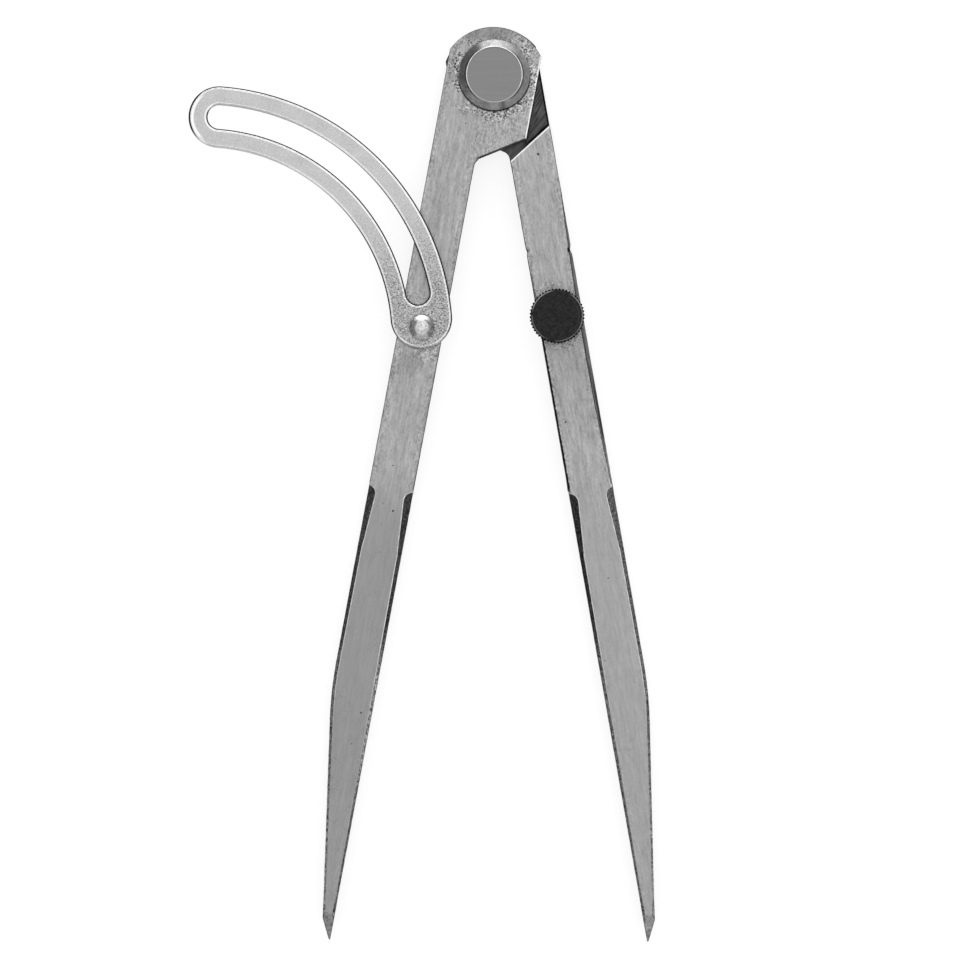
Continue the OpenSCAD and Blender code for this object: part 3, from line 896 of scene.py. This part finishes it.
# %% Helpers for geometry trees
def new_tree(name, **inputs):
    """An empty geometry tree with named inputs of each kind, and a wire for each of them."""
    tree = bpy.data.node_groups.new(name, "GeometryNodeTree")
    tree.interface.new_socket("Geometry", in_out="INPUT", socket_type="NodeSocketGeometry")
    for kind, names in inputs.items():
        for size in names:
            tree.interface.new_socket(size, in_out="INPUT", socket_type=f"NodeSocket{kind}")
    tree.interface.new_socket("Geometry", in_out="OUTPUT", socket_type="NodeSocketGeometry")
    source = tree.nodes.new("NodeGroupInput")
    return tree, {socket.name: Wire(tree, socket) for socket in source.outputs if socket.name}


def end_tree(tree, shape, material):
    """Ends a geometry tree in real faces with a material."""
    real = add(tree, "GeometryNodeRealizeInstances", {"Geometry": shape})
    painted = add(tree, "GeometryNodeSetMaterial", {"Geometry": real, "Material": material})
    result = tree.nodes.new("NodeGroupOutput")
    tree.links.new(painted.socket, result.inputs[0])


print("tree helpers are ready")

# %% [markdown]
# The bent grids are the walls. Each flat side is filled between their rims, and all is welded.

# %% The tree that bends a grid into the wing
def rolled_edge(tree, given, half_width, near, far, side):
    """A wall with round edges along an outline. Side is 1 where the metal is inside it, or else -1."""
    around = given["Points Round"] * 4 + 1
    grid = add(tree, "GeometryNodeMeshGrid", {
        "Size X": 4.0, "Size Y": 1.0, "Vertices X": around, "Vertices Y": given["Points Over"],
    })
    u, v = add(tree, "GeometryNodeInputPosition").xyz()[:2]
    u = u + 2.0
    out, far_turn, back, near_turn = [(u - k).limited() for k in range(4)]
    place = near + (far - near) * (out - back)
    facing = place + (far_turn + near_turn) * math.pi
    roll = (v + 0.5) * math.pi
    named = {"Geometry": grid, "Name": "to_head", "Value": facing.math("SINE") * side}
    grid = add(tree, "GeometryNodeStoreNamedAttribute", named)
    inset = given["Edge Round"] * (1 - roll.math("SINE")) * side
    straight = given["Thickness"] / 2 - given["Edge Round"]
    height = given["Edge Round"] * roll.math("COSINE") + roll.math("COSINE").math("SIGN") * straight
    width = half_width - inset
    x, y = [given["Arc Radius"] * place.math(way) + width * facing.math(way) for way in ("COSINE", "SINE")]
    where = add(tree, "ShaderNodeCombineXYZ", {0: x, 1: y, 2: height})
    bent = add(tree, "GeometryNodeSetPosition", {"Geometry": grid, "Position": where})
    return add(tree, "GeometryNodeSetShadeSmooth", {"Geometry": bent, "Shade Smooth": True})


def joined(tree, *shapes):
    """Several shapes as one, welded where they meet."""
    node = tree.nodes.new("GeometryNodeJoinGeometry")
    for shape in shapes:
        tree.links.new(shape.socket, node.inputs[0])
    whole = Wire(tree, node.outputs[0])
    return add(tree, "GeometryNodeMergeByDistance", {"Geometry": whole, "Distance": WELD})


def flat_side(tree, given, walls, sign):
    """The flat front or back of the plate, filled between the rims of its walls."""
    z = add(tree, "GeometryNodeInputPosition").xyz()[2]
    rim = add(tree, "GeometryNodeInputMeshEdgeNeighbors").math("LESS_THAN", 1.5)
    chosen = rim * (z * sign).math("GREATER_THAN", 0.0)
    lines = add(tree, "GeometryNodeMeshToCurve", {"Mesh": walls, "Selection": chosen})
    sheet = add(tree, "GeometryNodeFillCurve", {"Curve": lines})
    level = add(tree, "ShaderNodeCombineXYZ", {2: given["Thickness"] * (sign / 2)})
    return add(tree, "GeometryNodeTransform", {"Geometry": sheet, "Translation": level})


wing_tree, given = new_tree("stamped_wing", Float=(
    "Arc Radius", "Half Width", "Near End", "Far End", "Slot Half Width", "Slot Start", "Hole Radius",
    "Thickness", "Edge Round",
), Int=("Points Round", "Points Over"), Material=("Material",))
walls = joined(
    wing_tree,
    rolled_edge(wing_tree, given, given["Half Width"], given["Near End"], given["Far End"], 1),
    rolled_edge(wing_tree, given, given["Slot Half Width"], given["Slot Start"], given["Far End"], -1),
    rolled_edge(wing_tree, given, given["Hole Radius"], 0.0, 0.0, -1),
)
sides_of_plate = [flat_side(wing_tree, given, walls, sign) for sign in (1, -1)]
end_tree(wing_tree, joined(wing_tree, walls, *sides_of_plate), given["Material"])
print("wing tree has", len(wing_tree.nodes), "nodes")

# %% [markdown]
# ## Plated steel and the finished wing
# Tumbling leaves a fine, even, salt-and-pepper grain with no direction, and a pale grey. It also
# polishes the rounded edges, which lie below the flat face, so the height alone tells where they are;
# that bright edge is partly painted highlight, weaker where an edge faces the user or the head. Painted
# shade lies low on the sides, less on those that face the user: the tree wrote down how far each side
# faces the head. Near the rivet the plating is dull and coarse, with painted shade round the rivet's
# base, and round the far end a painted highlight lies inside a wider painted dark line.

# %% Plated finish
def plated_steel(name, base, axis, far_axis, bottom, top):
    """Plating of a flat piece between two heights, duller near an axis, with a painted highlight round a far
    one.
    """
    material, place = start_finish(name)
    distance = from_axis(place, axis)[0]
    x, z = place.xyz()[::2]
    to_head = add(place.tree, "ShaderNodeAttribute", out="Fac", attribute_name="to_head")
    depth = (top - bottom) / 2 / MM - (z - (top + bottom) / 2 / MM).math("ABSOLUTE")
    # Painted light: a partly painted highlight on the rounded edges, a highlight band round the far end,
    # shade low on the edges except those facing the user, and shade round the rivet's base.
    polish_and_highlight = depth.within(0.001, 0.006) * depth.within(0.16, 0.11)
    polish_and_highlight = polish_and_highlight * (1 - (to_head * to_head).within(0.6, 0.92) * 0.8)
    far_end = x.within(-63.0, -64.6)
    from_end = from_axis(place, far_axis)[0]
    far_highlight = from_end.within(5.4, 5.75) * from_end.within(6.4, 6.2) * x.within(-62.6, -64.4)
    painted_shade = (depth + far_end * 0.07).within(0.09, 0.14) * to_head.within(-0.85, -0.3)
    dull_and_shade = distance.within(30.0, 4.0)
    grain = ripple(place, 2.9, detail=1.5)
    cloud = ripple(place, 0.3, detail=4.0, shift=9.0)
    foot_shadow = distance.within(3.1, 2.7)
    grey = grain * (dull_and_shade * 1.4 + 0.4) + cloud * 0.14 + base
    grey = grey * (1 - dull_and_shade * 0.25) * (1 - foot_shadow * 0.35)
    grey = (grey + polish_and_highlight * 0.5 + far_highlight * 0.4) * (1 - painted_shade * 0.96)
    rough = 0.38 + grain * 0.2 + dull_and_shade * 0.08 - polish_and_highlight * 0.12 + painted_shade * 0.3
    return end_finish(material, grey.limited(), rough, grain, depth=0.02)


WING_RADIUS = 47.6 * MM
WING_TURN = math.radians(2.4)
WING_SPAN = math.radians(83.6)
to_far_end = Vector((math.cos(WING_SPAN) - 1, math.sin(WING_SPAN))) * WING_RADIUS
FAR_AXIS = RIVET_AXIS + Matrix.Rotation(WING_TURN, 2) @ to_far_end
wing_low, wing_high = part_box("wing")
plated = plated_steel("plated_steel", 0.505, RIVET_AXIS, FAR_AXIS, wing_low.z, wing_high.z)
print("plating is bright round", FAR_AXIS[:])

# %% [markdown]
# The tree's inputs are set by their identifiers, then the result is made a plain mesh and moved to the
# rivet's axis.

# %% The wing
def run_tree(name, bm, tree, values):
    """Runs a geometry tree on a bmesh and returns a plain, welded piece."""
    piece = new_piece(name, bm)
    modifier = piece.modifiers.new(tree.name, "NODES")
    modifier.node_group = tree
    for socket in tree.interface.items_tree:
        if socket.in_out == "INPUT" and socket.name in values:
            modifier[socket.identifier] = values[socket.name]
    apply(piece, modifier)
    clean = bmesh.new()
    clean.from_mesh(piece.data)
    bmesh.ops.remove_doubles(clean, verts=clean.verts, dist=WELD)
    bmesh.ops.recalc_face_normals(clean, faces=clean.faces)
    clean.to_mesh(piece.data)
    clean.free()
    return piece


wing = run_tree("wing_tumbled", bmesh.new(), wing_tree, {
    "Arc Radius": WING_RADIUS,
    "Half Width": 6.7 * MM,
    "Near End": 2.1 * MM / WING_RADIUS,
    "Far End": WING_SPAN,
    "Slot Half Width": 2.55 * MM,
    "Slot Start": 7.6 * MM / WING_RADIUS,
    "Hole Radius": 1.55 * MM,
    "Thickness": wing_high.z - wing_low.z,
    "Edge Round": 0.65 * MM,
    "Points Round": 48,
    "Points Over": 12,
    "Material": plated,
})
to_rivet = Matrix.Translation((*RIVET_AXIS, (wing_high.z + wing_low.z) / 2))
to_middle = Matrix.Translation((-WING_RADIUS, 0, 0))
wing.data.transform(to_rivet @ Matrix.Rotation(WING_TURN, 4, "Z") @ to_middle)
join_frame(wing, "wing", "plated_steel", "wing")
wing_box = [Vector([f(v.co[k] for v in wing.data.vertices) for k in range(3)]) for f in (min, max)]
off = [round((a - b).length / MM, 3) for a, b in zip(wing_box, (wing_low, wing_high))]
print("wing off its solid by", off)

# %% [markdown]
# ## Rivet and washer of the wing
# The rivet's head is a small dome, dented by the hammer. It is turned like the pivot, and then each
# point of the dome is pressed in by a noise.

# %% Wing rivet
def hammered_steel(name, axis, radius):
    """The rivet's dome, with painted shade round its middle: most at left and right, less below and in an
    arc above.
    """
    material, place = start_finish(name)
    distance, angle = from_axis(place, axis)
    sideways = angle.math("COSINE").math("ABSOLUTE")
    upwards = angle.math("SINE")
    dents = ripple(place, 1.3, detail=2.0)
    grain = ripple(place, 2.8, detail=2.0, shift=2.0)
    outside = (distance + dents * 1.2 + grain * 0.6).within(radius * 0.48, radius * 0.66)
    # Painted shade on the dome's left and right, a little below, and in an arc above its middle.
    painted_shade = outside * sideways.within(0.5, 0.8)
    low = outside * upwards.within(-0.4, -0.8)
    between = outside * distance.within(radius * 0.78, radius * 0.7) * upwards.within(0.3, 0.7)
    grey = (0.68 + dents * 0.6 + grain * 1.1) * (1 - painted_shade * 0.6) * (1 - low * 0.35) * (1 - between * 0.35)
    return end_finish(material, grey, 0.4 + grain * 0.3, dents + grain * 0.5, depth=0.1)


SMALL_SIDES = 64
DOME_STEPS = 14
DOME_LIFT = 0.05 * MM
DENT = 0.05 * MM
DENTS_FROM = 0.2 * MM
RIVET_SHANK = 1.5 * MM
RIVET_TAIL = 2.2 * MM
rivet_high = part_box("wing_rivet")[1]
dome_r = rivet_high.x - RIVET_AXIS.x
dome_foot = wing_high.z + DOME_LIFT
dome_h = rivet_high.z - dome_foot
ball_r = (dome_r ** 2 + dome_h ** 2) / (2 * dome_h)
ball_z = rivet_high.z - ball_r
dome_lean = math.asin(dome_r / ball_r)
rivet_profile = [(0, 0), (RIVET_TAIL, 0), (RIVET_SHANK, RIVET_TAIL - RIVET_SHANK), (RIVET_SHANK, dome_foot)]
for k in range(DOME_STEPS + 1):
    lean = dome_lean * (1 - k / DOME_STEPS)
    rivet_profile.append((ball_r * math.sin(lean), ball_z + ball_r * math.cos(lean)))
rivet_steel = hammered_steel("hammered_steel", RIVET_AXIS, dome_r / MM)
rivet = new_piece("wing_rivet_hammered", turned(rivet_profile, RIVET_AXIS, SMALL_SIDES), [rivet_steel])
for vert in rivet.data.vertices:
    if vert.co.z > dome_foot + DENTS_FROM:
        vert.co.z -= DENT * (1 + noise.noise(vert.co / MM * WAVES_EACH_MM)) / 2
crisp(rivet)
join_frame(rivet, "left_leg", "plated_steel", "wing_rivet")
print("rivet dome", round(2 * dome_r / MM, 2), "mm wide and", round(dome_h / MM, 2), "mm high")

# %% [markdown]
# The washer lifts the wing off the ground face, and only shows as a line of shadow.

# %% Wing washer
WASHER_ROUND = 0.06 * MM
wash_low, wash_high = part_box("wing_washer")
wash_r = (wash_high.x - wash_low.x) / 2
wash_profile = rounded([
    (RIVET_SHANK, wash_low.z, 0),
    (wash_r, wash_low.z, WASHER_ROUND),
    (wash_r, wash_high.z, WASHER_ROUND),
    (RIVET_SHANK, wash_high.z, 0),
])
wash_steel = plated_steel("plated_washer", 0.45, RIVET_AXIS, FAR_AXIS, wash_low.z, wash_high.z)
wash_blank = turned(wash_profile, RIVET_AXIS, SMALL_SIDES, ring=True)
wing_washer = new_piece("wing_washer_flat", wash_blank, [wash_steel])
crisp(wing_washer)
join_frame(wing_washer, "left_leg", "plated_steel", "wing_washer")
print("wing washer", round(2 * wash_r / MM, 2), "mm wide")

# %% [markdown]
# ## Grooves: one tree for the knurl and the thread
# A knurl is pressed into a turned blank by a wheel, and a thread is cut into one by a die. Both take
# metal away to a wave: the knurl's wave goes round the axis, and the thread's climbs as it goes
# round. So one tree does both. It limits each point's distance from the axis to the wave's, and what
# was already smaller, such as a chamfer, stays.

# %% The tree that cuts grooves
groove_tree, given = new_tree("cut_grooves", Vector=("Axis",), Float=(
    "Outer Radius", "Depth", "Grooves Each Turn", "Grooves Each Metre", "Start Angle", "From Height",
    "To Height", "Run Out",
), Material=("Material",))
place = add(groove_tree, "GeometryNodeInputPosition")
from_foot = {0: place, 1: given["Axis"]}
x, y, z = add(groove_tree, "ShaderNodeVectorMath", from_foot, operation="SUBTRACT").xyz()
distance = length(x, y)
turn = (y.math("ARCTAN2", x) - given["Start Angle"]) / math.tau
wave = turn * given["Grooves Each Turn"] + z * given["Grooves Each Metre"]
hollow = 1 - (wave.math("FRACT") * 2 - 1).math("ABSOLUTE")
starts = ((z - given["From Height"]) / given["Run Out"]).limited()
stops = ((given["To Height"] - z) / given["Run Out"]).limited()
limit = given["Outer Radius"] - given["Depth"] * hollow * starts * stops
shrink = distance.math("MINIMUM", limit) / distance.math("MAXIMUM", WELD)
cut = add(groove_tree, "ShaderNodeCombineXYZ", {0: x * shrink, 1: y * shrink, 2: z})
cut = add(groove_tree, "ShaderNodeVectorMath", {0: cut, 1: given["Axis"]}, operation="ADD")
grooved = add(groove_tree, "GeometryNodeSetPosition", {"Geometry": given["Geometry"], "Position": cut})
end_tree(groove_tree, grooved, given["Material"])
print("groove tree has", len(groove_tree.nodes), "nodes")

# %% [markdown]
# ## The stud and the knob
# The knob is turned, knurled with 48 straight grooves and blackened. Its flat face keeps faint turning
# rings, and a painted highlight lies along its rim in arcs, with a faint line further in on the right.

# %% Blackened finish
def blackened_steel(name, axis, rim, top):
    """Rim is the radius of the knob's flat face, and top its height."""
    material, place = start_finish(name)
    distance, angle = from_axis(place, axis)
    z = place.xyz()[2]
    fine = speckle(ring_place(place, axis), (2.2, 1.0, 2.2), detail=2.0)
    dust = speckle(place, 2.0, detail=4.0, shift=4.0)
    # Painted highlight: arcs along the rim of the face, most at the upper left and right, and a faint line
    # inside it on the right.
    near_rim = distance.within(rim - 0.22, rim - 0.12) * distance.within(rim + 0.08, rim - 0.02)
    upper_left = angle.within(1.65, 1.95) * angle.within(3.0, 2.75)
    right = angle.within(-0.9, -0.3) * angle.within(1.15, 0.85)
    low_right = angle.within(-1.7, -1.4) * angle.within(-0.7, -0.9)
    low_left = angle.within(-1.9, -2.3)
    arcs = upper_left * 0.85 + right * 0.6 + low_right * 0.4 + low_left * 0.4 + dust.within(0.5, 0.7) * 0.2
    painted_rim_highlight = near_rim * z.within(top - 0.2, top - 0.1) * arcs
    inner_line = distance.within(rim - 1.0, rim - 0.88) * distance.within(rim - 0.7, rim - 0.82) * right
    at_side = distance.within(rim, rim + 0.1)
    grooves = at_side * z.within(top - 0.9, top - 0.5)
    crests = distance.within(rim + 0.34, rim + 0.44) * z.within(top - 0.5, top - 0.9) * (0.4 + dust)
    skin = 0.011 + fine * 0.01 + dust.within(0.3, 0.7) * 0.016
    grey = skin * (1 - grooves * 0.9) * (1 - at_side * 0.4)
    grey = grey + crests * 0.06 + painted_rim_highlight * 0.3 + inner_line * 0.018
    rough = 0.5 + (dust - 0.5) * 0.25 - painted_rim_highlight * 0.12
    height = fine * 0.5 + dust * 0.5
    return end_finish(material, grey, rough, height, depth=0.02, metallic=0.0, shine=0.02)


KNOB_R = 6 * MM
KNOB_CHAMFER = 0.46 * MM
knob_low, knob_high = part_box("thumbscrew_knob")
rim_r = KNOB_R - KNOB_CHAMFER
knob_black = blackened_steel("blackened_steel", SCREW_AXIS, rim_r / MM, knob_high.z / MM)
print("blackened finish, rubbed at", round(rim_r / MM, 2), "mm from the axis")

# %% [markdown]
# The stud is a bright screw with a 0.7 mm thread. Its blank has enough rings and sides for the wave,
# and no more.

# %% Threaded stud
SCREW_PITCH = 0.7 * MM
THREAD_DEPTH = 0.427 * MM
RINGS_EACH_PITCH = 10
STUD_SIDES = 48
stud_low, stud_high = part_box("thumbscrew_stud")
stud_r = (stud_high.x - stud_low.x) / 2


def ladder(r, low, high, step):
    """A straight run of a profile with a point every step."""
    count = max(1, round((high - low) / step))
    return [(r, low + (high - low) * k / count) for k in range(count + 1)]


axis_3d = (*SCREW_AXIS, 0.0)
stud_profile = [
    (0, stud_low.z),
    *ladder(stud_r, stud_low.z, knob_low.z, SCREW_PITCH / RINGS_EACH_PITCH),
    (stud_r, stud_high.z),
    (0, stud_high.z),
]
stud = run_tree("thumbscrew_stud_threaded", turned(stud_profile, SCREW_AXIS, STUD_SIDES), groove_tree, {
    "Axis": axis_3d,
    "Outer Radius": stud_r,
    "Depth": THREAD_DEPTH,
    "Grooves Each Turn": -1.0,
    "Grooves Each Metre": 1 / SCREW_PITCH,
    "Start Angle": 0.0,
    "From Height": stud_low.z - SCREW_PITCH,
    "To Height": knob_low.z,
    "Run Out": SCREW_PITCH,
    "Material": turned_steel("screw_steel", SCREW_AXIS, 0.42, 0.33),
})
crisp(stud, 60)
join_frame(stud, "thumbscrew_stud", "screw_steel", "thumbscrew_stud")
print("stud faces", len(stud.data.polygons))

# %% [markdown]
# The knob's blank has a collar, a bore for the stud and chamfers, with eight sides to each groove.

# %% Knurled knob
KNURLS = 48
KNURL_DEPTH = 0.35 * MM
KNOB_RING = 0.2 * MM
SIDES_EACH_KNURL = 8
COLLAR_HEIGHT = 1 * MM
COLLAR_R = 4.2 * MM
BORE_R = 2.05 * MM
BORE_SLACK = 0.05 * MM
bore_top = stud_high.z + BORE_SLACK
rim_foot = knob_low.z + COLLAR_HEIGHT
knob_profile = [
    (0, bore_top),
    (BORE_R, bore_top),
    (BORE_R, knob_low.z),
    (COLLAR_R, knob_low.z),
    (COLLAR_R, rim_foot),
    (rim_r, rim_foot),
    *ladder(KNOB_R, rim_foot + KNOB_CHAMFER, knob_high.z - KNOB_CHAMFER, KNOB_RING),
    (rim_r, knob_high.z),
    (0, knob_high.z),
]
knob_blank = turned(knob_profile, SCREW_AXIS, KNURLS * SIDES_EACH_KNURL)
knob = run_tree("thumbscrew_knob_knurled", knob_blank, groove_tree, {
    "Axis": axis_3d,
    "Outer Radius": KNOB_R,
    "Depth": KNURL_DEPTH,
    "Grooves Each Turn": float(KNURLS),
    "Grooves Each Metre": 0.0,
    "Start Angle": LEG_LEAN,
    "From Height": knob_low.z - MM,
    "To Height": knob_high.z + MM,
    "Run Out": 0.5 * MM,
    "Material": knob_black,
})
crisp(knob, 25)
join_frame(knob, "thumbscrew_knob", "blackened_steel", "thumbscrew_knob")
print("knob faces", len(knob.data.polygons))
